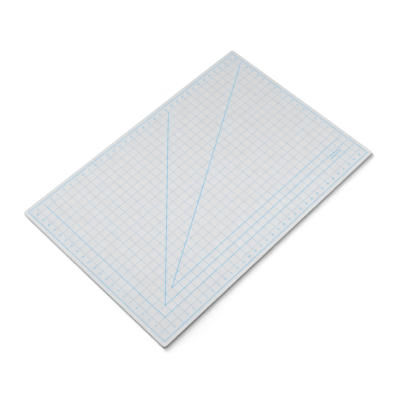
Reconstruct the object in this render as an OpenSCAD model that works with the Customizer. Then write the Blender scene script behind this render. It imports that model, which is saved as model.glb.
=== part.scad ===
// Self-healing cutting mat: five bonded plies with a ruled drafting print on the working face.
//
// The origin is the centre of the underside. +X runs along the long side, +Y along the short
// side and +Z up through the plies. Lengths are in millimetres. The print is laid out in ruled
// squares: (0, 0) is the front left corner of the border line, and each square is one inch.

/* [Ruled area] */
// Side of one ruled square
cell = 25.4; // [20:0.1:30]
// Number of squares inside the border line along the long side
cells_long = 35; // [28:1:47]
// Number of squares inside the border line along the short side
cells_short = 23; // [20:1:35]
// Plain margin outside the border line
margin = 12.7; // [10:0.1:25]
// Radius of the rounded corners of the sheet
corner_r = 8.5; // [2:0.5:20]

/* [Plies] */
// Thickness of the self-healing skin, on the working face and on the base
skin_t = 0.6; // [0.3:0.05:1.5]
// Thickness of the soft support ply behind each skin
support_t = 0.4; // [0.2:0.05:1]
// Thickness of the hard core
core_t = 1.0; // [0.5:0.05:3]

/* [Printed lines] */
// Thickness of the ink film
ink_t = 0.04; // [0.02:0.01:0.1]
// Width of the fine lines of the square grid
grid_w = 0.6; // [0.2:0.05:0.8]
// Width of the graduations of the edge scales
tick_w = 0.35; // [0.15:0.05:0.6]
// Width of the border line
border_w = 1.3; // [0.5:0.05:2]
// Width of the corner guide's lines and of the base lines of the angle guides
guide_w = 1.5; // [0.5:0.05:2]
// Width of the 45 and 30 degree lines
slant_w = 1.8; // [0.5:0.05:2.5]

/* [Numerals] */
// Height of the numerals
digit_h = 5.8; // [3:0.1:8]
// Width of the numerals' strokes
stroke_w = 1.2; // [0.3:0.05:1.5]
// Distance from the border line to the middle of the front row of numerals
front_row = 13.5; // [13:0.1:14]
// Distance from the border line to the middle of the back row
back_row = 13.2; // [12.5:0.1:14]
// Distance from the border line to the middle of the left column
left_column = 15.2; // [13.5:0.1:15.5]
// Distance from the border line to the middle of the right column
right_column = 11.5; // [11.5:0.1:14]

/* [Hidden] */

// The border line's rectangle, the sheet round it, and the height of each ply's underside
ruled_l = cells_long * cell;
ruled_w = cells_short * cell;
sheet_l = ruled_l + 2 * margin;
sheet_w = ruled_w + 2 * margin;
lower_support_z = skin_t;
core_z = lower_support_z + support_t;
upper_support_z = core_z + core_t;
healing_skin_z = upper_support_z + support_t;
top_z = healing_skin_z + skin_t;

// Graduations per square, and how far each kind reaches in from the border line's centre
divisions = 8;
eighth_len = 0.1 * cell;
quarter_len = 0.14 * cell;
half_len = 0.22 * cell;

// A numeral's width as a share of its height, the space between two digits, and the clear
// space that the ruled lines leave round the numerals
digit_aspect = 0.52;
digit_gap = 0.8;
digit_w = (digit_h - stroke_w) * digit_aspect + stroke_w;
pair_w = 2 * digit_w + digit_gap;
numeral_clear = 1.6;
// Largest turn between two points of a numeral's curve, in degrees
arc_step = 20;

// Where the ruled squares' lines stop short of each row and column of numerals: [near, far]
front_gap = [front_row - digit_h / 2 - numeral_clear, front_row + digit_h / 2 + numeral_clear];
back_gap = [back_row - digit_h / 2 - numeral_clear, back_row + digit_h / 2 + numeral_clear];
left_gap = [left_column - pair_w / 2 - numeral_clear, left_column + pair_w / 2 + numeral_clear];
right_gap = [right_column - pair_w / 2 - numeral_clear, right_column + pair_w / 2 + numeral_clear];

// Corners of the three guides in squares, and the last line that they reach each way
corner_at = [2, 2];
apex_45 = [3, 3];
apex_30 = [5, 4];
last_long = cells_long - 1;
last_short = cells_short - 1;

// The 45 and 30 degree lines: how far each runs along X, and its end. The 30 degree line runs a
// little past the last line across the sheet, and always ends clear of the last line along it.
past_30 = 0.1;
clear_30 = 0.5;
run_45 = min(last_long - apex_45[0], last_short - apex_45[1]);
run_30 = min(last_long + past_30 - apex_30[0], (last_short - clear_30 - apex_30[1]) / tan(30));
end_45 = apex_45 + run_45 * [1, 1];
end_30 = apex_30 + run_30 * [1, tan(30)];

// The scale bar: two rows of quarter-square blocks, filled in turn, in a break in the 45 guide's
// base, and a rule above them. Places are in squares.
bar_break = [cells_long - 3.95, cells_long - 1.95];
bar_at = [cells_long - 3.85, apex_45[1] - 0.48];
bar_blocks = 7;
bar_block_l = cell / 4;
bar_block_w = 2.6;
bar_outline_w = 0.5;
bar_row_step = 7.6;
bar_rule_up = 21.3;
bar_rule_w = 0.6;
bar_clear = 1.3;

ink_colour = [0.32, 0.59, 0.80];
skin_colour = [0.84, 0.85, 0.86];

// ---- layout helpers ----

// A point of the print, given in squares, in millimetres from the centre of the sheet
function at(i, j) = [i * cell - ruled_l / 2, j * cell - ruled_w / 2];

// One ply: the sheet's outline, t thick, from height z
module ply(z, t) {
    translate([0, 0, z])
        linear_extrude(t) {
            square([sheet_l - 2 * corner_r, sheet_w], center = true);
            square([sheet_l, sheet_w - 2 * corner_r], center = true);
            for (sx = [-1, 1], sy = [-1, 1])
                translate([sx * (sheet_l / 2 - corner_r), sy * (sheet_w / 2 - corner_r)])
                    circle(corner_r, $fn = 96);
        }
}

// Turns a flat drawing into a film of ink on the working face
module ink() {
    color(ink_colour)
        translate([0, 0, top_z])
            linear_extrude(ink_t) children();
}

// A straight band from a to b that runs past each end by `past`
module bar(a, b, w, past) {
    d = b - a;
    translate(a)
        rotate(atan2(d[1], d[0]))
            translate([-past, -w / 2])
                square([norm(d) + 2 * past, w]);
}

// ---- numerals ----
// A digit's centreline lies in a box one high and digit_aspect wide, and is drawn at
// (digit_h - stroke_w) to that unit, so that the inked strokes stand digit_h high.

// Points along an ellipse's arc
function arc(c, rx, ry, from, to) =
    let (n = ceil(abs(to - from) / arc_step))
    [for (i = [0 : n]) c + [rx * cos(from + (to - from) * i / n), ry * sin(from + (to - from) * i / n)]];

// Unit normal of a path at its point i
function normal_at(path, i) =
    let (d = path[min(i + 1, len(path) - 1)] - path[max(i - 1, 0)])
    [-d[1], d[0]] / norm(d);

// A stroke along a smooth path of points
module stroke(path) {
    k = digit_h - stroke_w;
    last = len(path) - 1;
    polygon(concat(
        [for (i = [0 : last]) k * path[i] - stroke_w / 2 * normal_at(path, i)],
        [for (i = [last : -1 : 0]) k * path[i] + stroke_w / 2 * normal_at(path, i)]));
}

// A straight stroke with square ends
module straight(a, b) {
    k = digit_h - stroke_w;
    bar(k * a, k * b, stroke_w, stroke_w / 2);
}

// A closed loop
module loop(c, rx, ry) {
    k = digit_h - stroke_w;
    s = stroke_w / 2;
    outer = arc(k * c, k * rx + s, k * ry + s, 0, 360 - arc_step);
    inner = arc(k * c, k * rx - s, k * ry - s, 0, 360 - arc_step);
    n = len(outer);
    polygon(concat(outer, inner), paths = [[for (i = [0 : n - 1]) i], [for (i = [n : 2 * n - 1]) i]]);
}

module six() {
    loop([0.26, 0.29], 0.26, 0.29);
    stroke(arc([0.54, 0.29], 0.54, 0.71, 180, 104));
}

module digit(d) {
    if (d == 0) {
        loop([0.26, 0.5], 0.26, 0.5);
    }
    if (d == 1) {
        straight([0.31, 0], [0.31, 1]);
        stroke([[0.06, 0.76], [0.29, 0.98]]);
    }
    if (d == 2) {
        stroke(concat(arc([0.26, 0.74], 0.26, 0.26, 165, -40), [[0, 0]]));
        straight([0, 0], [0.52, 0]);
    }
    if (d == 3) {
        stroke(arc([0.24, 0.76], 0.24, 0.24, 150, -90));
        stroke(arc([0.25, 0.27], 0.27, 0.27, 90, -150));
    }
    if (d == 4) {
        straight([0.38, 0], [0.38, 1]);
        straight([0, 0.3], [0.52, 0.3]);
        stroke([[0.38, 1], [0, 0.3]]);
    }
    if (d == 5) {
        straight([0.07, 1], [0.48, 1]);
        straight([0.07, 0.55], [0.07, 1]);
        stroke(arc([0.23, 0.31], 0.29, 0.31, 128, -150));
    }
    if (d == 6) {
        six();
    }
    if (d == 7) {
        straight([0, 1], [0.52, 1]);
        stroke([[0.52, 1], [0.17, -0.07]]);
    }
    if (d == 8) {
        loop([0.26, 0.76], 0.22, 0.24);
        loop([0.26, 0.27], 0.26, 0.27);
    }
    if (d == 9) {
        k = digit_h - stroke_w;
        translate([k * digit_aspect, k])
            rotate(180)
                six();
    }
}

// The number n, of one or two digits, centred on p
module numeral(n, p) {
    tens = floor(n / 10);
    w = tens > 0 ? pair_w : digit_w;
    first = p + [stroke_w / 2 - w / 2, stroke_w / 2 - digit_h / 2];
    if (tens > 0)
        translate(first) digit(tens);
    translate(first + [tens > 0 ? digit_w + digit_gap : 0, 0])
        digit(n % 10);
}

// ---- edge scales ----

// How far graduation k reaches in: a whole square's runs up to the numerals
function tick_len(k, whole_len) =
    k % divisions == 0 ? whole_len
    : k % (divisions / 2) == 0 ? half_len
    : k % (divisions / 4) == 0 ? quarter_len
    : eighth_len;

// One side of the border line along X from the origin, its ends mitred, with graduations on +Y
module edge_scale(cells, whole_len) {
    h = border_w / 2;
    l = cells * cell;
    step = cell / divisions;
    polygon(concat(
        [[l - h, h], [l + h, -h], [-h, -h], [h, h]],
        [for (k = [1 : cells * divisions - 1], corner = [0 : 3])
            [k * step + (corner < 2 ? -1 : 1) * tick_w / 2,
             corner % 3 == 0 ? h : tick_len(k, whole_len)]]));
}

// ---- flat drawings of the guides, which the grid is also cut clear of ----

module corner_guide_drawing() {
    bar(at(corner_at[0], corner_at[1]), at(last_long, corner_at[1]), guide_w, guide_w / 2);
    bar(at(corner_at[0], corner_at[1]), at(corner_at[0], last_short), guide_w, guide_w / 2);
}

module guide_45_drawing() {
    bar(at(apex_45[0], apex_45[1]), at(bar_break[0], apex_45[1]), guide_w, guide_w / 2);
    bar(at(bar_break[1], apex_45[1]), at(last_long, apex_45[1]), guide_w, guide_w / 2);
    bar(at(apex_45[0], apex_45[1]), at(end_45[0], end_45[1]), slant_w, slant_w / 2);
}

module guide_30_drawing() {
    bar(at(apex_30[0], apex_30[1]), at(last_long, apex_30[1]), guide_w, guide_w / 2);
    bar(at(apex_30[0], apex_30[1]), at(end_30[0], end_30[1]), slant_w, slant_w / 2);
}

// ---- the plies ----

module base_skin() {
    color(skin_colour) ply(0, skin_t);
}

module lower_support() {
    color("silver") ply(lower_support_z, support_t);
}

module hard_core() {
    color("gainsboro") ply(core_z, core_t);
}

module upper_support() {
    color("silver") ply(upper_support_z, support_t);
}

module healing_skin() {
    color(skin_colour) ply(healing_skin_z, skin_t);
}

// ---- the print ----

module front_scale() {
    ink() translate(at(0, 0)) edge_scale(cells_long, front_gap[0]);
}

module back_scale() {
    ink() translate(at(0, cells_short)) mirror([0, 1]) edge_scale(cells_long, back_gap[0]);
}

module left_scale() {
    ink() translate(at(0, 0)) mirror([1, 0]) rotate(90) edge_scale(cells_short, left_gap[0]);
}

module right_scale() {
    ink() translate(at(cells_long, 0)) rotate(90) edge_scale(cells_short, right_gap[0]);
}

module front_numerals() {
    ink() for (i = [1 : last_long]) numeral(i, at(i, 0) + [0, front_row]);
}

module back_numerals() {
    ink() for (i = [1 : last_long]) numeral(i, at(i, cells_short) - [0, back_row]);
}

module left_numerals() {
    ink() for (j = [1 : last_short]) numeral(j, at(0, j) + [left_column, 0]);
}

module right_numerals() {
    ink() for (j = [1 : last_short]) numeral(j, at(cells_long, j) - [right_column, 0]);
}

module square_grid() {
    ink() difference() {
        union() {
            for (i = [1 : last_long])
                bar(at(i, 0) + [0, front_gap[1]], at(i, cells_short) - [0, back_gap[1]], grid_w, 0);
            for (j = [1 : last_short])
                bar(at(0, j) + [left_gap[1], 0], at(cells_long, j) - [right_gap[1], 0], grid_w, 0);
        }
        corner_guide_drawing();
        guide_45_drawing();
        guide_30_drawing();
        // Clear space round the scale bar's blocks
        translate(at(bar_at[0], bar_at[1]) - [bar_clear, bar_clear])
            square([bar_blocks * bar_block_l + 2 * bar_clear, bar_row_step + bar_block_w + 2 * bar_clear]);
        scale_bar_rule();
    }
}

module corner_guide() {
    ink() corner_guide_drawing();
}

module guide_45_degree() {
    ink() guide_45_drawing();
}

module guide_30_degree() {
    ink() guide_30_drawing();
}

module scale_bar_rule() {
    translate(at(bar_at[0], bar_at[1]) + [0, bar_rule_up])
        square([bar_blocks * bar_block_l, bar_rule_w]);
}

// One row of blocks from the origin: block `first` and every second one after it is left open
module scale_bar_row(first) {
    difference() {
        square([bar_blocks * bar_block_l, bar_block_w]);
        for (k = [first : 2 : bar_blocks - 1])
            translate([k * bar_block_l, 0] + bar_outline_w * [1, 1])
                square([bar_block_l, bar_block_w] - 2 * bar_outline_w * [1, 1]);
    }
}

module scale_bar() {
    ink() {
        for (row = [0, 1])
            translate(at(bar_at[0], bar_at[1]) + [0, row * bar_row_step])
                scale_bar_row(1 - row);
        scale_bar_rule();
    }
}

base_skin();
lower_support();
hard_core();
upper_support();
healing_skin();
front_scale();
back_scale();
left_scale();
right_scale();
front_numerals();
back_numerals();
left_numerals();
right_numerals();
square_grid();
corner_guide();
guide_45_degree();
guide_30_degree();
scale_bar();
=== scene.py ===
"""Looks for the self-healing cutting mat: five bonded vinyl plies and the printed working face.

The plies are rebuilt with die-cut, slightly rounded edges, and stand for the CAD slabs. The
printed lines and numerals are the CAD nodes themselves. Lengths are in metres.
"""
import math

import bmesh
import bpy
from mathutils import Matrix, Vector


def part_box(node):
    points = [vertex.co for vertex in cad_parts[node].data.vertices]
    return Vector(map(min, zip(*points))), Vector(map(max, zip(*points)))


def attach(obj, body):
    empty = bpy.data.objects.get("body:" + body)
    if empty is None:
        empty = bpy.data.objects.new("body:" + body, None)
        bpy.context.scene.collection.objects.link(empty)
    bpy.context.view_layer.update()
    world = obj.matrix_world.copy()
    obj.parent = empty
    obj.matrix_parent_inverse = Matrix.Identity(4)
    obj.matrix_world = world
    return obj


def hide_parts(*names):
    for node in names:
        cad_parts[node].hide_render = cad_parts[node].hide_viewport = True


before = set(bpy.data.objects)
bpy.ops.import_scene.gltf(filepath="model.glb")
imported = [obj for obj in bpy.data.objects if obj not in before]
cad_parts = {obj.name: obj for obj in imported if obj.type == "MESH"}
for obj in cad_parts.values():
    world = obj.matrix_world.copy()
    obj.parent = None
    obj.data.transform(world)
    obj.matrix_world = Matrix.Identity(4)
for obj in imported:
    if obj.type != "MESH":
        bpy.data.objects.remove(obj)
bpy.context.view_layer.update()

MM = 0.001
UP = Vector((0, 0, 1))

# ---- camera: it looks at a point of the working face, a little in front of its centre ----
LENS_MM = 71.69
SENSOR_MM = 36.0
AIM = (-0.0524, -0.0418)
CAMERA_DISTANCE = 2.4128
# Angles are in degrees here and below. The heading is the way that the camera looks.
CAMERA_ELEVATION = 58.318
CAMERA_HEADING = 45.933
CAMERA_ROLL = -0.556
# Far enough to take in the whole floor
CAMERA_REACH = 200.0

# ---- sky: white up to HORIZON_TOP, as the sine of its elevation, then dim within HORIZON_FADE ----
HORIZON_STRENGTH = 1.06
SKY_SHARE = 0.02
HORIZON_TOP = 0.25
HORIZON_FADE = 0.05

# ---- two suns from behind the sheet, and a soft box over it ----
KEY_HEADING = 14.0
LOW_KEY_STRENGTH = 11.6
LOW_KEY_ELEVATION = 9.0
LOW_KEY_SPREAD = 20.0
HIGH_KEY_STRENGTH = 2.3
HIGH_KEY_ELEVATION = 32.0
HIGH_KEY_SPREAD = 30.0
FILL_POWER = 3.1
FILL_PLACE = (0.08, -0.26, 0.70)
FILL_LENGTH = 2.4
FILL_WIDTH = 0.3
FILL_TURN = -50.0

# ---- floor: NEAR_PAPER up to NEAR_FLOOR from its centre, then a change to FAR_PAPER ----
FLOOR_SIDE = 80.0
FLOOR_CENTRE = (0.0, -0.08)
FLOOR_DROP = 0.05 * MM
NEAR_FLOOR = 0.45
FAR_FLOOR = 0.72
NEAR_PAPER = 0.81
FAR_PAPER = 0.98

# ---- plies: outline, radii of the edges, and how far the support plies stand back ----
CORNER_STEPS = 24
EDGE_STEPS = 4
SKIN_EDGE = 0.28 * MM
PLY_EDGE = 0.04 * MM
PLY_INSET = 0.03 * MM
# A vertex this near to a ply's end lies on it
ON_THE_END = 0.01 * MM

# ---- vinyl: sizes of its marks, how far its tone strays, range of roughness, relief ----
VINYL_SPECULAR = 0.2
MOTTLE_SIZE = 35 * MM
MOTTLE_TONE = 0.015
SCUFF_SIZE = 4 * MM
VINYL_ROUGHNESS = (0.72, 0.88)
GRAIN_STRENGTH = 0.5
PEBBLE_SIZE = 1.6 * MM
PEBBLE_HEIGHT = 0.08 * MM
PEBBLE_STRENGTH = 0.6
PEBBLE_SMOOTHNESS = 0.6

# ---- ink: the same for the printed film ----
INK_SPECULAR = 0.25
INK_PATCH_SIZE = 6 * MM
INK_TONE = 0.06
INK_SCUFF_SIZE = 2 * MM
INK_ROUGHNESS = (0.62, 0.78)
INK_GRAIN_SIZE = 0.5 * MM
INK_RELIEF = 0.01 * MM
INK_GRAIN_STRENGTH = 0.4

# Noise keeps mostly to the middle of its range, which is where a colour ramp's ends are set
NOISE_LOW = 0.35
NOISE_HIGH = 0.65

# ---- colours, linear ----
WHITE = (1.0, 1.0, 1.0)
SKIN_COLOUR = (0.560, 0.562, 0.569)
SUPPORT_COLOUR = (0.54, 0.545, 0.55)
CORE_COLOUR = (0.60, 0.60, 0.605)
INK_COLOUR = (0.02, 0.39, 0.62)
FINE_INK_COLOUR = (0.08, 0.30, 0.47)
# The base skin's tone as a share of the working skin's
BASE_TONE = 0.94


def corner_radius(node):
    """The CAD ply's corner radius: how far its straight end stops short of its full width."""
    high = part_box(node)[1]
    points = [vertex.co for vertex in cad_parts[node].data.vertices]
    return high.y - max(point.y for point in points if high.x - point.x < ON_THE_END)


def outline(node, inset):
    """The rounded rectangle of a ply, drawn in by inset, as points in the XY plane."""
    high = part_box(node)[1]
    radius = corner_radius(node)
    reach_x = high.x - radius
    reach_y = high.y - radius
    points = []
    for quarter, (side_x, side_y) in enumerate(((1, 1), (-1, 1), (-1, -1), (1, -1))):
        for step in range(CORNER_STEPS + 1):
            turn = math.radians(90 * (quarter + step / CORNER_STEPS))
            points.append((
                side_x * reach_x + (radius - inset) * math.cos(turn),
                side_y * reach_y + (radius - inset) * math.sin(turn),
            ))
    return points


def rounded_edge(height, radius, upper):
    """(inset, height) pairs round a ply's upper or lower edge, from low to high."""
    pairs = []
    for step in range(EDGE_STEPS + 1):
        turn = math.radians(90 * step / EDGE_STEPS)
        if upper:
            pairs.append((radius * (1 - math.cos(turn)), height - radius * (1 - math.sin(turn))))
        else:
            pairs.append((radius * (1 - math.sin(turn)), height + radius * (1 - math.cos(turn))))
    return pairs


def make_ply(node, lower_edge, upper_edge, inset):
    """A slab in a CAD ply's place with rounded lower and upper edges."""
    low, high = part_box(node)
    profile = rounded_edge(low.z, lower_edge, False) + rounded_edge(high.z, upper_edge, True)
    shape = bmesh.new()
    rings = [
        [shape.verts.new((x, y, z)) for x, y in outline(node, inset + inward)]
        for inward, z in profile
    ]
    for below, above in zip(rings, rings[1:]):
        for i in range(len(below)):
            face = shape.faces.new((below[i - 1], below[i], above[i], above[i - 1]))
            face.smooth = True
    shape.faces.new(reversed(rings[0]))
    shape.faces.new(rings[-1])
    mesh = bpy.data.meshes.new(node + "_sheet")
    shape.to_mesh(mesh)
    shape.free()
    piece = bpy.data.objects.new(node + "_sheet", mesh)
    bpy.context.scene.collection.objects.link(piece)
    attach(piece, "root")
    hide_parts(node)
    return piece


# ---- materials ----

class Shader:
    """A Principled material whose nodes are added one by one."""

    def __init__(self, name, specular):
        self.material = bpy.data.materials.new(name)
        self.material.use_nodes = True
        self.tree = self.material.node_tree
        self.surface = self.tree.nodes["Principled BSDF"]
        self.surface.inputs["Specular IOR Level"].default_value = specular
        self.place = self.tree.nodes.new("ShaderNodeTexCoord").outputs["Object"]

    def node(self, kind, **settings):
        made = self.tree.nodes.new(kind)
        for key, value in settings.items():
            setattr(made, key, value)
        return made

    def link(self, output, target):
        self.tree.links.new(output, target)

    def noise(self, size, detail=2.0):
        """Noise whose features are about size across."""
        made = self.node("ShaderNodeTexNoise")
        made.inputs["Scale"].default_value = 1 / size
        made.inputs["Detail"].default_value = detail
        self.link(self.place, made.inputs["Vector"])
        return made.outputs["Fac"]

    def pebbles(self, size):
        """Rounded cells about size across."""
        made = self.node("ShaderNodeTexVoronoi", feature="SMOOTH_F1")
        made.inputs["Scale"].default_value = 1 / size
        made.inputs["Smoothness"].default_value = PEBBLE_SMOOTHNESS
        self.link(self.place, made.inputs["Vector"])
        return made.outputs["Distance"]

    def distance(self):
        """Distance from the object's origin, in metres."""
        made = self.node("ShaderNodeVectorMath", operation="LENGTH")
        self.link(self.place, made.inputs[0])
        return made.outputs["Value"]

    def colour(self, source, dark, light, low=NOISE_LOW, high=NOISE_HIGH):
        """The base colour runs from dark to light as source goes from low to high."""
        ramp = self.node("ShaderNodeValToRGB")
        ramp.color_ramp.elements[0].position = low
        ramp.color_ramp.elements[0].color = (*dark, 1)
        ramp.color_ramp.elements[1].position = high
        ramp.color_ramp.elements[1].color = (*light, 1)
        self.link(source, ramp.inputs["Fac"])
        self.link(ramp.outputs["Color"], self.surface.inputs["Base Color"])

    def roughness(self, source, low, high):
        """The roughness runs from low to high with source."""
        spread = self.node("ShaderNodeMapRange")
        spread.inputs["To Min"].default_value = low
        spread.inputs["To Max"].default_value = high
        self.link(source, spread.inputs["Value"])
        self.link(spread.outputs["Result"], self.surface.inputs["Roughness"])

    def bump(self, source, height, strength, over=None):
        """Relief of the given height; over is the relief that it lies on."""
        made = self.node("ShaderNodeBump")
        made.inputs["Strength"].default_value = strength
        made.inputs["Distance"].default_value = height
        self.link(source, made.inputs["Height"])
        if over is not None:
            self.link(over, made.inputs["Normal"])
        self.link(made.outputs["Normal"], self.surface.inputs["Normal"])
        return made.outputs["Normal"]


def shade(colour, factor):
    """A colour made darker or lighter by a factor."""
    return tuple(channel * factor for channel in colour)


def vinyl(name, colour, grain, relief, pebbled=False):
    """Matte filled vinyl: faint mottling, a fine grain and, on the base, pebbles."""
    made = Shader(name, VINYL_SPECULAR)
    mottle = made.noise(MOTTLE_SIZE, detail=4.0)
    made.colour(mottle, shade(colour, 1 - MOTTLE_TONE), shade(colour, 1 + MOTTLE_TONE))
    made.roughness(made.noise(SCUFF_SIZE, detail=3.0), *VINYL_ROUGHNESS)
    under = None
    if pebbled:
        under = made.bump(made.pebbles(PEBBLE_SIZE), PEBBLE_HEIGHT, PEBBLE_STRENGTH)
    made.bump(made.noise(grain), relief, GRAIN_STRENGTH, over=under)
    return made.material


def printed_ink(name, colour):
    """A thin screen-printed film: slightly uneven in tone, with the grain of the skin under it."""
    made = Shader(name, INK_SPECULAR)
    patches = made.noise(INK_PATCH_SIZE, detail=3.0)
    made.colour(patches, shade(colour, 1 - INK_TONE), shade(colour, 1 + INK_TONE))
    made.roughness(made.noise(INK_SCUFF_SIZE), *INK_ROUGHNESS)
    made.bump(made.noise(INK_GRAIN_SIZE), INK_RELIEF, INK_GRAIN_STRENGTH)
    return made.material


base_colour = shade(SKIN_COLOUR, BASE_TONE)
skin_vinyl = vinyl("skin_vinyl", SKIN_COLOUR, grain=0.45 * MM, relief=0.02 * MM)
base_vinyl = vinyl("base_vinyl", base_colour, grain=0.5 * MM, relief=0.02 * MM, pebbled=True)
support_vinyl = vinyl("support_vinyl", SUPPORT_COLOUR, grain=0.25 * MM, relief=0.01 * MM)
core_vinyl = vinyl("core_vinyl", CORE_COLOUR, grain=0.2 * MM, relief=0.01 * MM)
bold_ink = printed_ink("bold_ink", INK_COLOUR)
fine_ink = printed_ink("fine_ink", FINE_INK_COLOUR)

# node: (material, record's slot, radius of the lower edge, of the upper edge, inset)
PLIES = {
    "base_skin": (base_vinyl, "base_skin", SKIN_EDGE, PLY_EDGE, 0.0),
    "lower_support": (support_vinyl, "support_ply", PLY_EDGE, PLY_EDGE, PLY_INSET),
    "hard_core": (core_vinyl, "core_ply", PLY_EDGE, PLY_EDGE, 0.0),
    "upper_support": (support_vinyl, "support_ply", PLY_EDGE, PLY_EDGE, PLY_INSET),
    "healing_skin": (skin_vinyl, "healing_skin", PLY_EDGE, SKIN_EDGE, 0.0),
}


def paint(piece, material):
    """Makes a material the only one on a piece."""
    piece.data.materials.clear()
    piece.data.materials.append(material)


def dress(piece, material):
    """Paints a ply."""
    paint(piece, material)


sheets = {}
for node, (material, slot, lower_edge, upper_edge, inset) in PLIES.items():
    sheets[node] = make_ply(node, lower_edge, upper_edge, inset)
    dress(sheets[node], material)

for node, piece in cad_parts.items():
    if node not in PLIES:
        paint(piece, fine_ink if node == "square_grid" else bold_ink)


# ---- studio ----

def heading(degrees, elevation):
    """Unit vector towards a compass heading, clockwise from +Y, at an elevation."""
    turn, rise = math.radians(degrees), math.radians(elevation)
    level = math.cos(rise)
    return Vector((math.sin(turn) * level, math.cos(turn) * level, math.sin(rise)))


def make_floor():
    """White paper, a little darker round the sheet's shadow, where the light is strongest."""
    bpy.ops.mesh.primitive_plane_add(size=FLOOR_SIDE, location=(*FLOOR_CENTRE, -FLOOR_DROP))
    floor = bpy.context.object
    floor.name = "floor"
    made = Shader("floor_paper", specular=0.0)
    made.surface.inputs["Roughness"].default_value = 1.0
    near, far = shade(WHITE, NEAR_PAPER), shade(WHITE, FAR_PAPER)
    made.colour(made.distance(), near, far, NEAR_FLOOR, FAR_FLOOR)
    floor.data.materials.append(made.material)


def make_sky():
    """A dim even sky, white along the horizon, where low views see past the floor."""
    world = bpy.data.worlds.new("studio")
    world.use_nodes = True
    tree = world.node_tree
    direction = tree.nodes.new("ShaderNodeTexCoord")
    parts = tree.nodes.new("ShaderNodeSeparateXYZ")
    ramp = tree.nodes.new("ShaderNodeValToRGB")
    ramp.color_ramp.elements[0].position = HORIZON_TOP
    ramp.color_ramp.elements[0].color = (*WHITE, 1)
    ramp.color_ramp.elements[1].position = HORIZON_TOP + HORIZON_FADE
    ramp.color_ramp.elements[1].color = (*shade(WHITE, SKY_SHARE), 1)
    tree.nodes["Background"].inputs["Strength"].default_value = HORIZON_STRENGTH
    tree.links.new(direction.outputs["Generated"], parts.inputs["Vector"])
    tree.links.new(parts.outputs["Z"], ramp.inputs["Fac"])
    tree.links.new(ramp.outputs["Color"], tree.nodes["Background"].inputs["Color"])
    bpy.context.scene.world = world


def make_key(name, strength, elevation, spread, glare):
    """A soft sun. Without glare it is a polarised one, which gives no highlight on the sheet."""
    light = bpy.data.lights.new(name, "SUN")
    light.energy = strength
    light.angle = math.radians(spread)
    lamp = bpy.data.objects.new(name, light)
    lamp.rotation_euler = heading(KEY_HEADING, elevation).to_track_quat("Z", "Y").to_euler()
    lamp.visible_glossy = glare
    bpy.context.scene.collection.objects.link(lamp)
    return lamp


def shield(pieces, lamp):
    """Keeps a lamp's light off some pieces, as a studio flag does."""
    shielded = bpy.data.collections.new(lamp.name + "_shield")
    for piece in pieces:
        shielded.objects.link(piece)
    for member in shielded.collection_objects:
        member.light_linking.link_state = "EXCLUDE"
    lamp.light_linking.receiver_collection = shielded


def make_fill():
    """A long soft box above the sheet, which makes it a little brighter along its middle."""
    light = bpy.data.lights.new("fill", "AREA")
    light.energy = FILL_POWER
    light.shape = "RECTANGLE"
    light.size = FILL_LENGTH
    light.size_y = FILL_WIDTH
    lamp = bpy.data.objects.new("fill", light)
    lamp.location = FILL_PLACE
    lamp.rotation_euler.z = math.radians(FILL_TURN)
    lamp.visible_camera = False
    bpy.context.scene.collection.objects.link(lamp)


def make_camera():
    """A long lens aimed at the working face, rolled a little about its line of sight."""
    data = bpy.data.cameras.new("camera")
    data.lens = LENS_MM
    data.sensor_width = SENSOR_MM
    data.clip_end = CAMERA_REACH
    camera = bpy.data.objects.new("camera", data)
    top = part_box("healing_skin")[1].z
    aim = Vector((*AIM, top))
    forward = -heading(CAMERA_HEADING + 180, CAMERA_ELEVATION)
    roll = Matrix.Rotation(math.radians(CAMERA_ROLL), 3, forward)
    right = roll @ forward.cross(UP).normalized()
    axes = Matrix((right, right.cross(forward), -forward)).transposed()
    camera.matrix_world = Matrix.Translation(aim - forward * CAMERA_DISTANCE) @ axes.to_4x4()
    bpy.context.scene.collection.objects.link(camera)
    bpy.context.scene.camera = camera


make_floor()
make_sky()
low_key = make_key("low_key", LOW_KEY_STRENGTH, LOW_KEY_ELEVATION, LOW_KEY_SPREAD, glare=False)
shield([sheets[node] for node in PLIES if node != "healing_skin"], low_key)
make_key("high_key", HIGH_KEY_STRENGTH, HIGH_KEY_ELEVATION, HIGH_KEY_SPREAD, glare=True)
make_fill()
make_camera()
bpy.context.scene.view_settings.view_transform = "Standard"
